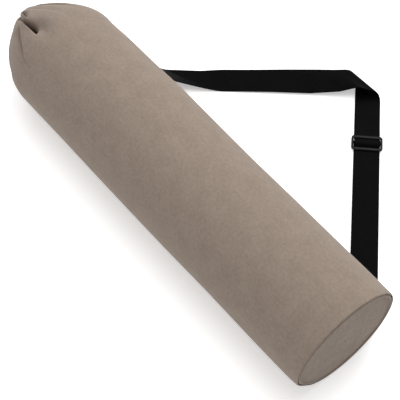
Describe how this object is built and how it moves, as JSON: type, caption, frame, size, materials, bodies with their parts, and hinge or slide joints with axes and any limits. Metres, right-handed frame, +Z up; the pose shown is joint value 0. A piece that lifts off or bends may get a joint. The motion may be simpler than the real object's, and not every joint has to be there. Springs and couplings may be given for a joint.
{
  "type": "yoga mat bag",
  "caption": "Drawstring tube bag for a rolled mat, lying on its side, with a round base, a gathered end and an adjustable webbing shoulder strap laid out beside it.",
  "frame": {"origin": "middle of the footprint of the bag and its laid-out strap, on the ground", "axes": "+X along the bag from its gathered mouth towards its round base, +Y from the bag towards the strap laid beside it, +Z up"},
  "size_m": [0.702, 0.4432, 0.1704],
  "materials": {
    "canvas": "plain woven grey-brown cotton canvas, matt",
    "base_canvas": "the same canvas, a little darker, matt",
    "webbing": "black woven webbing, matt with a faint sheen on the weave",
    "slider_plastic": "dark moulded plastic, half matt"
  },
  "bodies": {
    "root": {"bag_tube": "canvas", "base_panel": "base_canvas", "long_strap": "webbing", "short_strap": "webbing", "strap_slider": "slider_plastic"}
  },
  "joints": []
}
